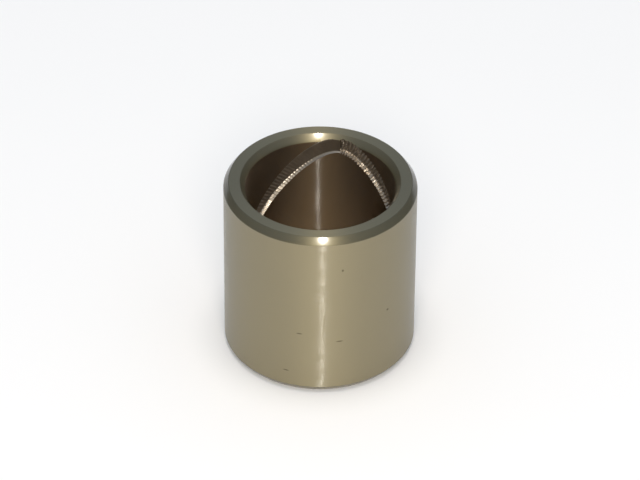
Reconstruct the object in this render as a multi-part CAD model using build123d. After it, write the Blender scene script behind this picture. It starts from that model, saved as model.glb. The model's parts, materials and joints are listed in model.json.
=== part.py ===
from build123d import *
import math
import os

# Sleeve bushing, turned from one piece of bronze. It stands on its lower end face, with its axis on +Z and
# the origin at the centre of that face. An oil groove runs once round the bore wall as a closed loop.

# Sleeve
bore_diameter = 35.0
wall_thickness = 5.0
length = 45.0

# Chamfers, alike at both ends
outer_chamfer_radial = 1.2
outer_chamfer_axial = 1.6
inner_chamfer_radial = 1.15
inner_chamfer_axial = 1.7

# Oil groove, cut by a round-nosed tool that travels from one mouth to the other and back in one turn
groove_width = 4.1
groove_depth = 1.2
groove_end_distance = 2.5   # from an end face to the centre line where the groove turns back
groove_rounding_share = 0.3   # how softly it turns back: near 0 the loop is a zigzag, near 1 a sine wave
groove_path_points = 20

bore_radius = bore_diameter / 2
outer_radius = bore_radius + wall_thickness
nose_radius = ((groove_width / 2) ** 2 + groove_depth ** 2) / (2 * groove_depth)
nose_path_radius = bore_radius + groove_depth - nose_radius


def turned_sleeve():
    """The plain sleeve: its wall section, chamfered at all four corners, turned about the axis."""
    wall_section = Polyline(
        (bore_radius + inner_chamfer_radial, 0, 0),
        (outer_radius - outer_chamfer_radial, 0, 0),
        (outer_radius, 0, outer_chamfer_axial),
        (outer_radius, 0, length - outer_chamfer_axial),
        (outer_radius - outer_chamfer_radial, 0, length),
        (bore_radius + inner_chamfer_radial, 0, length),
        (bore_radius, 0, length - inner_chamfer_axial),
        (bore_radius, 0, inner_chamfer_axial),
        close=True,
    )
    return revolve(make_face(wall_section), Axis.Z)


def nose_centre(angle):
    """Centre of the tool's round nose: highest at the back of the bore (+Y), lowest at the front."""
    half_stroke = length / 2 - groove_end_distance
    straightness = math.sqrt(1 - groove_rounding_share ** 2)
    travel = half_stroke * math.asin(straightness * math.sin(angle)) / math.asin(straightness)
    return (
        nose_path_radius * math.cos(angle),
        nose_path_radius * math.sin(angle),
        length / 2 + travel,
    )


def groove_cutter():
    """What the tool's round nose sweeps on its closed loop: the arch over the back, joined to the one below."""
    angles = [math.tau * step / groove_path_points for step in range(groove_path_points)]
    loop = Spline(*[nose_centre(angle) for angle in angles], periodic=True)
    arches = []
    for arch_path in (loop.trim(0, 0.5), loop.trim(0.5, 1)):
        start = arch_path @ 0
        towards_axis = Vector(-start.X, -start.Y, 0)
        nose_plane = Plane(origin=start, x_dir=towards_axis, z_dir=arch_path % 0)
        arches.append(sweep(nose_plane * Circle(nose_radius), path=arch_path))
    upper_arch, lower_arch = arches
    return upper_arch + lower_arch


sleeve_bushing = turned_sleeve() - groove_cutter()

os.makedirs("parts", exist_ok=True)
export_step(sleeve_bushing, "parts/sleeve_bushing.step")
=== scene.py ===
import json
import math

import bpy
from mathutils import Euler, Matrix, Vector


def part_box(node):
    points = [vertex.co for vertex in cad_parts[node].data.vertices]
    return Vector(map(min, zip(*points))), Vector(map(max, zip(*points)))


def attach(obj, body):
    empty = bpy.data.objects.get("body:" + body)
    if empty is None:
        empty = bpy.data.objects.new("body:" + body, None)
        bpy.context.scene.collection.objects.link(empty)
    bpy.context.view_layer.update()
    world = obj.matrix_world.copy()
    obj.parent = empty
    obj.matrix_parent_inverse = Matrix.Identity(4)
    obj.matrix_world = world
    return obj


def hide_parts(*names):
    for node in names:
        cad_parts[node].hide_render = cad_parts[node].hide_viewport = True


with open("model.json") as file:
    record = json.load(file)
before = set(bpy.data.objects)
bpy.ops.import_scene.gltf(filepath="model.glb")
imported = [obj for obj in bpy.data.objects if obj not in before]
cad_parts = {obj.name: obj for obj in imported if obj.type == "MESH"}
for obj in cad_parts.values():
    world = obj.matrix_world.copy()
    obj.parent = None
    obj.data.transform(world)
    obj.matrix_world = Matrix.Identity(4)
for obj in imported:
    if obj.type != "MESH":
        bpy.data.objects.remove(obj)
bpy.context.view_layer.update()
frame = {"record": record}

# Sleeve bushing, the shape: one piece of tin bronze, turned and bored on a lathe from a cast tube. A tool
# with steep flanks then cut the oil groove into the bore in one closed loop, from mouth to mouth and back, in
# three passes beside each other. It chattered on its way and left small ridges across the groove.
mm = 0.001
low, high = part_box("sleeve_bushing")
mounts = {mount["name"]: mount["dims"] for mount in frame["record"]["mounts"]}
length = high.z - low.z
outer_radius = mounts["outside"]["r_mm"] * mm
bore_radius = mounts["bore"]["r_mm"] * mm
wall = outer_radius - bore_radius
outer_chamfer_axial = (length - mounts["outside"]["length_mm"] * mm) / 2
outer_chamfer_radial = 1.2 * mm
inner_chamfer_axial = (length - mounts["bore"]["length_mm"] * mm) / 2
inner_chamfer_radial = 1.15 * mm
edge_break = 0.08 * mm
chamfer_crown = 0.02 * mm

groove_width = 4.1 * mm
groove_floor_depth = 0.85 * mm
groove_end_distance = 2.5 * mm   # from an end face to the tool's middle where it turns back
groove_rounding_share = 0.3   # how softly it turns back: near 0 the loop is a zigzag, near 1 a sine wave
groove_loop_length = 131.6 * mm   # along the path of the tool's middle
flank_angle = math.radians(55)   # how far a flank's face is turned from the floor's
tool_shank_depth = 1.15 * mm   # how far inside the bore's face the middle of the tool runs
tool_path_radius = bore_radius - tool_shank_depth
chatter_pitch = 0.8 * mm
chatter_seed = 7


def add_node(tree, kind, links=(), **settings):
    """Adds one node: its settings, then a link or a plain value for each of its inputs that is named."""
    node = tree.nodes.new(kind)
    for name, value in settings.items():
        setattr(node, name, value)
    for socket, value in dict(links).items():
        if isinstance(value, bpy.types.NodeSocket):
            tree.links.new(value, node.inputs[socket])
        else:
            node.inputs[socket].default_value = value
    return node


sizes = {
    "Outer Radius": outer_radius,
    "Half Length": length / 2,
    "Tool Path Radius": tool_path_radius,
    "Half Stroke": length / 2 - groove_end_distance,
    "Straightness": math.sqrt(1 - groove_rounding_share ** 2),
    "Shank Depth": tool_shank_depth,
    "Floor Depth": groove_floor_depth,
    "Flank Angle": flank_angle,
    "Flank Reach": tool_shank_depth * math.cos(flank_angle) + groove_width / 2 * math.sin(flank_angle),
    "Corner Softness": 0.45 * mm,
    "Passes": 3.0,
    "Chatter Count": round(groove_loop_length / chatter_pitch),
    "Chatter Share": 0.09,
    "Run-out Share": 0.6,
}
turning = bpy.data.node_groups.new("turned_sleeve_with_oil_groove", "GeometryNodeTree")
turning.interface.new_socket("Sleeve", in_out="OUTPUT", socket_type="NodeSocketGeometry")
turning.interface.new_socket("Wall Section", in_out="INPUT", socket_type="NodeSocketGeometry")
size_sockets = {
    name: turning.interface.new_socket(name, in_out="INPUT", socket_type="NodeSocketFloat") for name in sizes
}
seed_socket = turning.interface.new_socket("Seed", in_out="INPUT", socket_type="NodeSocketInt")
given = add_node(turning, "NodeGroupInput").outputs

# The wall section turned about the axis. Its points are given as depth below the outside, and height.
turn_steps = 720
section = add_node(turning, "GeometryNodeMeshToCurve", {"Mesh": given["Wall Section"]})
place = add_node(turning, "GeometryNodeInputPosition")
place_parts = add_node(turning, "ShaderNodeSeparateXYZ", {"Vector": place.outputs[0]}).outputs
outward = add_node(turning, "ShaderNodeCombineXYZ", {"X": place_parts["X"], "Y": place_parts["Y"]})
inward = add_node(turning, "ShaderNodeVectorMath", {0: outward.outputs[0], "Scale": -1.0}, operation="SCALE")
turn = add_node(turning, "GeometryNodeCurvePrimitiveCircle", {
    "Resolution": turn_steps, "Radius": given["Outer Radius"]})
turn_facing_in = add_node(turning, "GeometryNodeSetCurveNormal", {
    "Curve": turn.outputs["Curve"], "Normal": inward.outputs[0]}, mode="FREE")
plain_sleeve = add_node(turning, "GeometryNodeCurveToMesh", {
    "Curve": turn_facing_in.outputs[0], "Profile Curve": section.outputs["Curve"]})

# The path of the tool: a circle in plan, and in height a zigzag with rounded turns.
tool_path_steps = 1200
sine = add_node(turning, "ShaderNodeMath", {
    0: place_parts["Y"], 1: given["Tool Path Radius"]}, operation="DIVIDE")
leaning_sine = add_node(turning, "ShaderNodeMath", {
    0: sine.outputs[0], 1: given["Straightness"]}, operation="MULTIPLY")
sway = add_node(turning, "ShaderNodeMath", {0: leaning_sine.outputs[0]}, operation="ARCSINE")
full_sway = add_node(turning, "ShaderNodeMath", {0: given["Straightness"]}, operation="ARCSINE")
travel_share = add_node(turning, "ShaderNodeMath", {
    0: sway.outputs[0], 1: full_sway.outputs[0]}, operation="DIVIDE")
tool_height = add_node(turning, "ShaderNodeMath", {
    0: travel_share.outputs[0], 1: given["Half Stroke"], 2: given["Half Length"]}, operation="MULTIPLY_ADD")
rise = add_node(turning, "ShaderNodeCombineXYZ", {"Z": tool_height.outputs[0]})
tool_circle = add_node(turning, "GeometryNodeCurvePrimitiveCircle", {
    "Resolution": tool_path_steps, "Radius": given["Tool Path Radius"]})
tool_path = add_node(turning, "GeometryNodeSetPosition", {
    "Geometry": tool_circle.outputs["Curve"], "Offset": rise.outputs[0]})
tool_path_facing_out = add_node(turning, "GeometryNodeSetCurveNormal", {
    "Curve": tool_path.outputs[0], "Normal": outward.outputs[0]}, mode="FREE")

# The tool's way: a fan of rays round the tool's middle, swept along the path. Each ray knows its angle across
# the groove, its place along the path and the middle that it starts from.
ray_count = 53
fan_half_angle = math.radians(75)
ray_fan = add_node(turning, "GeometryNodeCurveArc", {
    "Resolution": ray_count,
    "Radius": 1.0,
    "Start Angle": -fan_half_angle,
    "Sweep Angle": 2 * fan_half_angle,
    "Connect Center": True,
})
ray_angle = add_node(turning, "ShaderNodeMath", {
    0: place_parts["Y"], 1: place_parts["X"]}, operation="ARCTAN2")
marked_fan = add_node(turning, "GeometryNodeStoreNamedAttribute", {
    "Geometry": ray_fan.outputs["Curve"], "Name": "across", "Value": ray_angle.outputs[0]})
path_share = add_node(turning, "GeometryNodeSplineParameter")
marked_path = add_node(turning, "GeometryNodeStoreNamedAttribute", {
    "Geometry": tool_path_facing_out.outputs[0], "Name": "along", "Value": path_share.outputs["Factor"]})
centred_path = add_node(turning, "GeometryNodeStoreNamedAttribute", {
    "Geometry": marked_path.outputs[0],
    "Name": "tool_middle",
    "Value": place.outputs[0],
}, data_type="FLOAT_VECTOR")
tool_sweep = add_node(turning, "GeometryNodeCurveToMesh", {
    "Curve": centred_path.outputs[0], "Profile Curve": marked_fan.outputs[0]})
across = add_node(turning, "GeometryNodeInputNamedAttribute", {"Name": "across"})
along = add_node(turning, "GeometryNodeInputNamedAttribute", {"Name": "along"})
tool_middle = add_node(turning, "GeometryNodeInputNamedAttribute", {
    "Name": "tool_middle"}, data_type="FLOAT_VECTOR")

# The section that it cuts: a flat floor, and steep straight flanks that it meets in a soft corner. The floor
# runs out to less depth at the end of each stroke, before the tool turns back.
strokes_in_loop = 2.0   # the tool makes them against the path's own direction
start_in_stroke = 0.5   # the path starts halfway along a stroke
run_out_power = 6.0   # how late in a stroke the floor starts to rise
stroke_count = add_node(turning, "ShaderNodeMath", {
    0: along.outputs[0], 1: -strokes_in_loop, 2: start_in_stroke}, operation="MULTIPLY_ADD")
stroke = add_node(turning, "ShaderNodeMath", {0: stroke_count.outputs[0]}, operation="FRACT")
late_stroke = add_node(turning, "ShaderNodeMath", {0: stroke.outputs[0], 1: run_out_power}, operation="POWER")
run_out = add_node(turning, "ShaderNodeMath", {
    0: late_stroke.outputs[0], 1: given["Run-out Share"]}, operation="MULTIPLY")
depth_left = add_node(turning, "ShaderNodeMath", {0: 1.0, 1: run_out.outputs[0]}, operation="SUBTRACT")
floor_distance = add_node(turning, "ShaderNodeMath", {
    0: depth_left.outputs[0], 1: given["Floor Depth"], 2: given["Shank Depth"]}, operation="MULTIPLY_ADD")
floor_slant = add_node(turning, "ShaderNodeMath", {0: across.outputs[0]}, operation="COSINE")
floor_reach = add_node(turning, "ShaderNodeMath", {
    0: floor_distance.outputs[0], 1: floor_slant.outputs[0]}, operation="DIVIDE")
from_middle = add_node(turning, "ShaderNodeMath", {0: across.outputs[0]}, operation="ABSOLUTE")
off_flank = add_node(turning, "ShaderNodeMath", {
    0: from_middle.outputs[0], 1: given["Flank Angle"]}, operation="SUBTRACT")
flank_slant = add_node(turning, "ShaderNodeMath", {0: off_flank.outputs[0]}, operation="COSINE")
flank_reach = add_node(turning, "ShaderNodeMath", {
    0: given["Flank Reach"], 1: flank_slant.outputs[0]}, operation="DIVIDE")
smooth_reach = add_node(turning, "ShaderNodeMath", {
    0: floor_reach.outputs[0],
    1: flank_reach.outputs[0],
    2: given["Corner Softness"],
}, operation="SMOOTH_MIN")

# Chatter: each pass cuts a little deeper and shallower by turns along its path, no two times alike. It starts
# hard where the tool turns back at an end of the bore, and dies away on the stroke to the other end.
pass_lag_share = 0.12   # of a beat, by which each pass is out of step with the one beside it
weakest_beat = 0.5   # where the strongest is 1
pass_middle = add_node(turning, "ShaderNodeMath", {0: given["Passes"], 1: 0.5}, operation="MULTIPLY")
pass_share = add_node(turning, "ShaderNodeMath", {
    0: across.outputs[0], 1: given["Passes"], 2: pass_middle.outputs[0]}, operation="MULTIPLY_ADD")
pass_number = add_node(turning, "ShaderNodeMath", {0: pass_share.outputs[0]}, operation="FLOOR")
pass_lag = add_node(turning, "ShaderNodeMath", {
    0: pass_number.outputs[0], 1: pass_lag_share}, operation="MULTIPLY")
beat = add_node(turning, "ShaderNodeMath", {
    0: along.outputs[0], 1: given["Chatter Count"], 2: pass_lag.outputs[0]}, operation="MULTIPLY_ADD")
beat_start = add_node(turning, "ShaderNodeMath", {0: beat.outputs[0]}, operation="FLOOR")
beat_number = add_node(turning, "ShaderNodeMath", {
    0: pass_number.outputs[0], 1: given["Chatter Count"], 2: beat_start.outputs[0]}, operation="MULTIPLY_ADD")
beat_force = add_node(turning, "FunctionNodeRandomValue", {
    2: weakest_beat, 3: 1.0, "ID": beat_number.outputs[0], "Seed": given["Seed"]}, data_type="FLOAT")
beat_angle = add_node(turning, "ShaderNodeMath", {0: beat.outputs[0], 1: math.tau}, operation="MULTIPLY")
beat_sine = add_node(turning, "ShaderNodeMath", {0: beat_angle.outputs[0]}, operation="SINE")
beat_depth = add_node(turning, "ShaderNodeMath", {
    0: beat_force.outputs[1], 1: given["Chatter Share"]}, operation="MULTIPLY")
fade = add_node(turning, "ShaderNodeMath", {0: 1.0, 1: stroke.outputs[0]}, operation="SUBTRACT")
fading_depth = add_node(turning, "ShaderNodeMath", {
    0: beat_depth.outputs[0], 1: fade.outputs[0]}, operation="MULTIPLY")
beat_share = add_node(turning, "ShaderNodeMath", {
    0: fading_depth.outputs[0], 1: beat_sine.outputs[0], 2: 1.0}, operation="MULTIPLY_ADD")
reach = add_node(turning, "ShaderNodeMath", {
    0: smooth_reach.outputs[0], 1: beat_share.outputs[0]}, operation="MULTIPLY")
ray = add_node(turning, "ShaderNodeVectorMath", {
    0: place.outputs[0], 1: tool_middle.outputs[0]}, operation="SUBTRACT")
cut_place = add_node(turning, "ShaderNodeVectorMath", {
    0: ray.outputs[0], 1: reach.outputs[0], 2: tool_middle.outputs[0]}, operation="MULTIPLY_ADD")
tool_cut = add_node(turning, "GeometryNodeSetPosition", {
    "Geometry": tool_sweep.outputs[0], "Position": cut_place.outputs[0]})
cutter = add_node(turning, "GeometryNodeStoreNamedAttribute", {
    "Geometry": tool_cut.outputs[0], "Name": "groove", "Value": True}, data_type="BOOLEAN", domain="FACE")
grooved = add_node(turning, "GeometryNodeMeshBoolean", {
    "Mesh 1": plain_sleeve.outputs[0], "Mesh 2": cutter.outputs[0]}, operation="DIFFERENCE", solver="EXACT")

# Every turned corner stays a crisp edge, and the round faces are smooth. Points that the cut left on top of
# each other are joined first, and the faces are split into well-shaped triangles.
join_distance = 0.001 * mm
crisp_angle = math.radians(16)
joined = add_node(turning, "GeometryNodeMergeByDistance", {
    "Geometry": grooved.outputs["Mesh"], "Distance": join_distance})
facets = add_node(turning, "GeometryNodeTriangulate", {"Mesh": joined.outputs[0]}, ngon_method="BEAUTY")
smooth = add_node(turning, "GeometryNodeSetShadeSmooth", {"Geometry": facets.outputs["Mesh"]}, domain="FACE")
edge_angle = add_node(turning, "GeometryNodeInputMeshEdgeAngle")
crisp = add_node(turning, "ShaderNodeMath", {
    0: edge_angle.outputs["Unsigned Angle"], 1: crisp_angle}, operation="GREATER_THAN")
edged = add_node(turning, "GeometryNodeSetShadeSmooth", {
    "Geometry": smooth.outputs[0], "Selection": crisp.outputs[0], "Shade Smooth": False}, domain="EDGE")

# Sleeve bushing, the finish: tin bronze as it leaves the lathe. The tool's feed leaves fine rings round the
# wall and the bore, which draw the flash out into one bright line along each.


def linear(hex_colour):
    """An sRGB hex colour as linear RGBA."""
    shares = [int(hex_colour[digit:digit + 2], 16) / 255 for digit in (1, 3, 5)]
    return [s / 12.92 if s <= 0.04045 else ((s + 0.055) / 1.055) ** 2.4 for s in shares] + [1.0]


# The outer wall: satin khaki, from the cutting tool. A thin film of oil follows the steep little flanks of
# the feed rings. They vary from ring to ring and along each ring, so the bright line is speckled.
ring_pitch = 0.2 * mm   # drawn coarser than the real feed of about 0.15 mm, which is too fine to show
speckle_length = 3 * mm
speckle_height = 0.6 * mm
wall_khaki = linear("#9D9274")
turned_bronze = bpy.data.materials.new("turned_tin_bronze")
turned_bronze.use_nodes = True
wall_nodes = turned_bronze.node_tree
shader = wall_nodes.nodes["Principled BSDF"]
shader.inputs["Base Color"].default_value = wall_khaki
shader.inputs["Metallic"].default_value = 1.0
shader.inputs["Roughness"].default_value = 0.5
shader.inputs["Anisotropic"].default_value = 0.6
shader.inputs["Anisotropic Rotation"].default_value = 0.25
shader.inputs["Specular Tint"].default_value = linear("#D0D6E2")
shader.inputs["Coat Weight"].default_value = 0.68
shader.inputs["Coat Roughness"].default_value = 0.18
round_axis = add_node(wall_nodes, "ShaderNodeTangent", direction_type="RADIAL", axis="Z")
wall_nodes.links.new(round_axis.outputs[0], shader.inputs["Tangent"])
own_place = add_node(wall_nodes, "ShaderNodeTexCoord").outputs["Object"]
own_height = add_node(wall_nodes, "ShaderNodeSeparateXYZ", {"Vector": own_place}).outputs["Z"]
ring_angle = add_node(wall_nodes, "ShaderNodeMath", {
    0: own_height, 1: math.tau / ring_pitch}, operation="MULTIPLY")
ring_sine = add_node(wall_nodes, "ShaderNodeMath", {0: ring_angle.outputs[0]}, operation="SINE")
ring_count = add_node(wall_nodes, "ShaderNodeMath", {0: own_height, 1: 1 / ring_pitch}, operation="MULTIPLY")
ring_number = add_node(wall_nodes, "ShaderNodeMath", {0: ring_count.outputs[0]}, operation="FLOOR")
ring_chance = add_node(wall_nodes, "ShaderNodeTexWhiteNoise", {
    "W": ring_number.outputs[0]}, noise_dimensions="1D")
ring_depth = add_node(wall_nodes, "ShaderNodeMapRange", {
    "Value": ring_chance.outputs["Value"], "To Min": 0.9, "To Max": 1.1})
speckle_stretch = (1 / speckle_length, 1 / speckle_length, 1 / speckle_height)
speckle_place = add_node(wall_nodes, "ShaderNodeVectorMath", {
    0: own_place, 1: speckle_stretch}, operation="MULTIPLY")
speckle = add_node(wall_nodes, "ShaderNodeTexNoise", {
    "Vector": speckle_place.outputs[0], "Scale": 1.0, "Detail": 0.0})
flank_slope = add_node(wall_nodes, "ShaderNodeMapRange", {
    "Value": speckle.outputs["Fac"], "From Min": 0.3, "From Max": 0.7, "To Min": 0.89, "To Max": 1.3})
ring_flank = add_node(wall_nodes, "ShaderNodeMath", {
    0: ring_depth.outputs["Result"], 1: flank_slope.outputs["Result"]}, operation="MULTIPLY")
ring_slope = add_node(wall_nodes, "ShaderNodeMath", {
    0: ring_sine.outputs[0], 1: ring_flank.outputs[0]}, operation="MULTIPLY")
ring_lean = add_node(wall_nodes, "ShaderNodeCombineXYZ", {"Z": ring_slope.outputs[0]})
facing = add_node(wall_nodes, "ShaderNodeNewGeometry").outputs["Normal"]
leaning = add_node(wall_nodes, "ShaderNodeVectorMath", {0: facing, 1: ring_lean.outputs[0]}, operation="ADD")
ring_facing = add_node(wall_nodes, "ShaderNodeVectorMath", {0: leaning.outputs[0]}, operation="NORMALIZE")
wall_nodes.links.new(ring_facing.outputs[0], shader.inputs["Coat Normal"])

# The bore: the same rings, in a browner and darker colour that is painted shade and painted warm
# interreflection inside the bore.
bored_bronze_painted_shade = turned_bronze.copy()
bored_bronze_painted_shade.name = "bored_tin_bronze_painted_shade"
shader = bored_bronze_painted_shade.node_tree.nodes["Principled BSDF"]
shader.inputs["Base Color"].default_value = linear("#866F50")
shader.inputs["Roughness"].default_value = 0.42
shader.inputs["Coat Weight"].default_value = 0.52
shader.inputs["Coat Roughness"].default_value = 0.15

# Nicks on the outer wall, from lying among other parts: three dark scratches round it and two dull dots. Each
# has its turn from the front in degrees, then its height, half length and half breadth in millimetres.
nicks = (
    (3.1, 17.3, 0.85, 0.22),
    (-5.1, 5.7, 0.85, 0.22),
    (27.0, 15.1, 0.95, 0.22),
    (28.5, 35.8, 0.3, 0.4),
    (59.5, 19.9, 0.4, 0.35),
)
across_wall = add_node(wall_nodes, "ShaderNodeSeparateXYZ", {"Vector": own_place}).outputs
wall_turn = add_node(wall_nodes, "ShaderNodeMath", {
    0: across_wall["Y"], 1: across_wall["X"]}, operation="ARCTAN2")
wall_arc = add_node(wall_nodes, "ShaderNodeMath", {
    0: wall_turn.outputs[0], 1: outer_radius}, operation="MULTIPLY")
wall_place = add_node(wall_nodes, "ShaderNodeCombineXYZ", {"X": wall_arc.outputs[0], "Z": across_wall["Z"]})
nick_distance = 2.0   # beyond the reach of every nick
for turn_from_front, height, half_length, half_breadth in nicks:
    nick_middle = (math.radians(turn_from_front - 90) * outer_radius, 0, height * mm)
    nick_stretch = (1 / (half_length * mm), 0, 1 / (half_breadth * mm))
    from_nick = add_node(wall_nodes, "ShaderNodeVectorMath", {
        0: wall_place.outputs[0], 1: nick_middle}, operation="SUBTRACT")
    nick_share = add_node(wall_nodes, "ShaderNodeVectorMath", {
        0: from_nick.outputs[0], 1: nick_stretch}, operation="MULTIPLY")
    off_nick = add_node(wall_nodes, "ShaderNodeVectorMath", {0: nick_share.outputs[0]}, operation="LENGTH")
    nick_distance = add_node(wall_nodes, "ShaderNodeMath", {
        0: off_nick.outputs["Value"], 1: nick_distance}, operation="MINIMUM").outputs[0]
nicked = add_node(wall_nodes, "ShaderNodeMapRange", {
    "Value": nick_distance,
    "From Min": 0.3,
    "From Max": 1.2,
    "To Min": 0.8,
    "To Max": 0.0,
}, interpolation_type="SMOOTHSTEP")
wall_colour = add_node(wall_nodes, "ShaderNodeMix", {
    0: nicked.outputs["Result"], 6: wall_khaki, 7: linear("#5E543E")}, data_type="RGBA")
wall_nodes.links.new(wall_colour.outputs[2], wall_nodes.nodes["Principled BSDF"].inputs["Base Color"])

# The end faces and chamfers: cut by a broad tool in one plunge, so smoother, and without rings under the oil.
faced_bronze = bpy.data.materials.new("faced_tin_bronze")
faced_bronze.use_nodes = True
end_nodes = faced_bronze.node_tree
shader = end_nodes.nodes["Principled BSDF"]
shader.inputs["Base Color"].default_value = linear("#908568")
shader.inputs["Metallic"].default_value = 1.0
shader.inputs["Roughness"].default_value = 0.54
shader.inputs["Anisotropic"].default_value = 0.75
shader.inputs["Anisotropic Rotation"].default_value = 0.25
shader.inputs["Specular Tint"].default_value = linear("#D0D6E2")
shader.inputs["Coat Weight"].default_value = 1.0
shader.inputs["Coat Roughness"].default_value = 0.18
round_axis = add_node(end_nodes, "ShaderNodeTangent", direction_type="RADIAL", axis="Z")
end_nodes.links.new(round_axis.outputs[0], shader.inputs["Tangent"])

# The outer chamfers: the same cut, in a darker colour that is painted shade, as they lack the light that the
# bore reflects onto the inner chamfers.
chamfered_bronze_painted_shade = faced_bronze.copy()
chamfered_bronze_painted_shade.name = "chamfered_tin_bronze_painted_shade"
shader = chamfered_bronze_painted_shade.node_tree.nodes["Principled BSDF"]
shader.inputs["Base Color"].default_value = linear("#797056")
shader.inputs["Coat Roughness"].default_value = 0.15

# The groove: cut last, so paler than the bore. It has no rings, and its ridges catch the flash in spots.
cut_bronze = bpy.data.materials.new("groove_cut_tin_bronze")
cut_bronze.use_nodes = True
shader = cut_bronze.node_tree.nodes["Principled BSDF"]
shader.inputs["Base Color"].default_value = linear("#A5998A")
shader.inputs["Metallic"].default_value = 1.0
shader.inputs["Roughness"].default_value = 0.42
shader.inputs["Coat Weight"].default_value = 1.0
shader.inputs["Coat Roughness"].default_value = 0.18

# Each face gets its finish by the way it faces: towards the axis, up or down, or both outward and up or down.
# The groove's faces were marked when they were cut.
end_face_steepness = 0.15
outer_chamfer_outwardness = outer_radius / 4
single = add_node(turning, "GeometryNodeRealizeInstances", {"Geometry": edged.outputs[0]})
turned_faces = add_node(turning, "GeometryNodeSetMaterial", {
    "Geometry": single.outputs[0], "Material": turned_bronze})
face_way = add_node(turning, "GeometryNodeInputNormal").outputs["Normal"]
outwardness = add_node(turning, "ShaderNodeVectorMath", {
    0: face_way, 1: outward.outputs[0]}, operation="DOT_PRODUCT").outputs["Value"]
faces_axis = add_node(turning, "ShaderNodeMath", {0: outwardness, 1: 0.0}, operation="LESS_THAN")
bored_faces = add_node(turning, "GeometryNodeSetMaterial", {
    "Geometry": turned_faces.outputs[0], "Selection": faces_axis.outputs[0], "Material": bored_bronze_painted_shade})
way_parts = add_node(turning, "ShaderNodeSeparateXYZ", {"Vector": face_way}).outputs
steepness = add_node(turning, "ShaderNodeMath", {0: way_parts["Z"]}, operation="ABSOLUTE")
faces_end = add_node(turning, "ShaderNodeMath", {
    0: steepness.outputs[0], 1: end_face_steepness}, operation="GREATER_THAN")
end_faces = add_node(turning, "GeometryNodeSetMaterial", {
    "Geometry": bored_faces.outputs[0], "Selection": faces_end.outputs[0], "Material": faced_bronze})
faces_out = add_node(turning, "ShaderNodeMath", {
    0: outwardness, 1: outer_chamfer_outwardness}, operation="GREATER_THAN")
faces_both = add_node(turning, "ShaderNodeMath", {
    0: faces_out.outputs[0], 1: faces_end.outputs[0]}, operation="MULTIPLY")
outer_chamfers = add_node(turning, "GeometryNodeSetMaterial", {
    "Geometry": end_faces.outputs[0], "Selection": faces_both.outputs[0], "Material": chamfered_bronze_painted_shade})
in_groove = add_node(turning, "GeometryNodeInputNamedAttribute", {"Name": "groove"}, data_type="BOOLEAN")
all_faces = add_node(turning, "GeometryNodeSetMaterial", {
    "Geometry": outer_chamfers.outputs[0],
    "Selection": in_groove.outputs["Attribute"],
    "Material": cut_bronze,
})
add_node(turning, "NodeGroupOutput", {"Sleeve": all_faces.outputs[0]})

# The wall section: eight corners, each broken by a small flat, and chamfers that are crowned a little.
crown_shares = (0, 0.25, 0.5, 0.75, 1)
wall_corners = [Vector(corner) for corner in (
    (outer_chamfer_radial, 0),
    (0, outer_chamfer_axial),
    (0, length - outer_chamfer_axial),
    (outer_chamfer_radial, length),
    (wall - inner_chamfer_radial, length),
    (wall, length - inner_chamfer_axial),
    (wall, inner_chamfer_axial),
    (wall - inner_chamfer_radial, 0),
)]
wall_section = []
for corner, next_corner in zip(wall_corners, wall_corners[1:] + wall_corners[:1]):
    run = next_corner - corner
    away = Vector((-run.y, run.x)).normalized()
    is_chamfer = abs(run.x) > 0 and abs(run.y) > 0
    for share in crown_shares if is_chamfer else (0, 1):
        distance = edge_break + share * (run.length - 2 * edge_break)
        crown = chamfer_crown * 4 * share * (1 - share)
        wall_section.append(corner + run.normalized() * distance + away * crown)
outline = bpy.data.meshes.new("wall_section")
point_count = len(wall_section)
outline.from_pydata(
    [(point.x, point.y, 0) for point in wall_section],
    [(point, (point + 1) % point_count) for point in range(point_count)],
    [],
)
bushing = bpy.data.objects.new("turned_bushing", outline)
bpy.context.scene.collection.objects.link(bushing)
lathe = bushing.modifiers.new("lathe", "NODES")
lathe.node_group = turning
for name, socket in size_sockets.items():
    lathe[socket.identifier] = float(sizes[name])
lathe[seed_socket.identifier] = chatter_seed
turned = bpy.data.meshes.new_from_object(bushing.evaluated_get(bpy.context.evaluated_depsgraph_get()))
bushing.modifiers.remove(lathe)
bushing.data = turned
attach(bushing, "root")
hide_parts("sleeve_bushing")

# Studio: a sheet of white card in a dim room. One soft lamp hangs above and another stands in front, and a
# small flash beside the lens draws the bright lines and spots on the turned faces.
half_card = 1.5
card_corners = [
    (-half_card, -half_card, 0),
    (half_card, -half_card, 0),
    (half_card, half_card, 0),
    (-half_card, half_card, 0),
]
card_mesh = bpy.data.meshes.new("white_card")
card_mesh.from_pydata(card_corners, [], [(0, 1, 2, 3)])
card = bpy.data.objects.new("white_card", card_mesh)
bpy.context.scene.collection.objects.link(card)
white_card = bpy.data.materials.new("white_card")
white_card.use_nodes = True
shader = white_card.node_tree.nodes["Principled BSDF"]
shader.inputs["Base Color"].default_value = linear("#F6F6F6")
shader.inputs["Roughness"].default_value = 0.9
shader.inputs["Specular IOR Level"].default_value = 0.0
card_mesh.materials.append(white_card)

room = bpy.data.worlds.new("dim_room")
bpy.context.scene.world = room
room.use_nodes = True
way_up = add_node(room.node_tree, "ShaderNodeTexCoord").outputs["Generated"]
height_up = add_node(room.node_tree, "ShaderNodeSeparateXYZ", {"Vector": way_up}).outputs["Z"]
walls = add_node(room.node_tree, "ShaderNodeValToRGB", {"Fac": height_up})
walls.color_ramp.elements[0].position = 0.1
walls.color_ramp.elements[0].color = linear("#565B62")
walls.color_ramp.elements[1].position = 0.7
walls.color_ramp.elements[1].color = linear("#BCC8D4")
room.node_tree.links.new(walls.outputs["Color"], room.node_tree.nodes["Background"].inputs["Color"])

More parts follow.
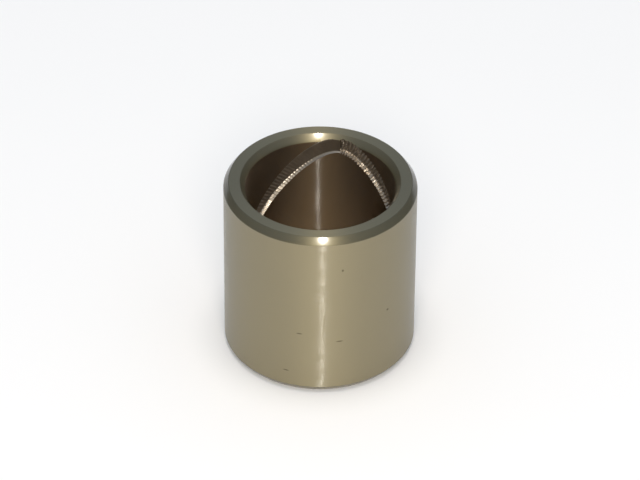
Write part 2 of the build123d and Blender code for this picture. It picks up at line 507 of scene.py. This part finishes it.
overhead_height = 1.3
soft_lamp = bpy.data.lights.new("soft_lamp", "AREA")
soft_lamp.shape = "DISK"
soft_lamp.size = 0.5
soft_lamp.energy = 5.8
soft_lamp.color = linear("#FFF4E8")[:3]
overhead = bpy.data.objects.new("soft_lamp", soft_lamp)
overhead.location = (0, 0, overhead_height)
overhead.visible_glossy = False
bpy.context.scene.collection.objects.link(overhead)

# The second soft lamp stands on the camera's side. It lights the card right up to the lower chamfer.
view_azimuth = math.radians(14.94)
front_elevation = math.radians(40)
front_distance = 1.2
front_lamp = soft_lamp.copy()
front_lamp.name = "front_lamp"
front_lamp.energy = 7.4
front = bpy.data.objects.new("front_lamp", front_lamp)
front_turn = Euler((math.pi / 2 - front_elevation, 0, view_azimuth)).to_matrix()
front.matrix_world = Matrix.LocRotScale(front_distance * front_turn.col[2], front_turn, None)
front.visible_glossy = False
bpy.context.scene.collection.objects.link(front)

# Camera: at the photograph's height and side, some 0.94 m off through a long lens.
view_elevation = math.radians(37.84)
view_roll = math.radians(0.45)
view_distance = 0.9422
view_target = Vector((0, 0, 0.02764))
focal_share = 6.295   # focal length over picture width
camera_data = bpy.data.cameras.new("camera")
camera_data.sensor_width = 36
camera_data.lens = focal_share * camera_data.sensor_width
camera = bpy.data.objects.new("camera", camera_data)
level_turn = Euler((math.pi / 2 - view_elevation, 0, view_azimuth)).to_matrix()
view_turn = level_turn @ Matrix.Rotation(view_roll, 3, "Z")
camera.matrix_world = Matrix.LocRotScale(view_target + view_distance * level_turn.col[2], view_turn, None)
bpy.context.scene.collection.objects.link(camera)
bpy.context.scene.camera = camera

flash_offset = 0.045   # to the right of the lens
flash_lamp = bpy.data.lights.new("flash", "AREA")
flash_lamp.shape = "DISK"
flash_lamp.size = 0.03
flash_lamp.energy = 6.3
flash_lamp.color = linear("#FFF9EC")[:3]
flash = bpy.data.objects.new("flash", flash_lamp)
flash.matrix_world = camera.matrix_world @ Matrix.Translation((flash_offset, 0.0, 0.0))
flash.visible_diffuse = False
bpy.context.scene.collection.objects.link(flash)

bpy.context.scene.view_settings.view_transform = "Standard"
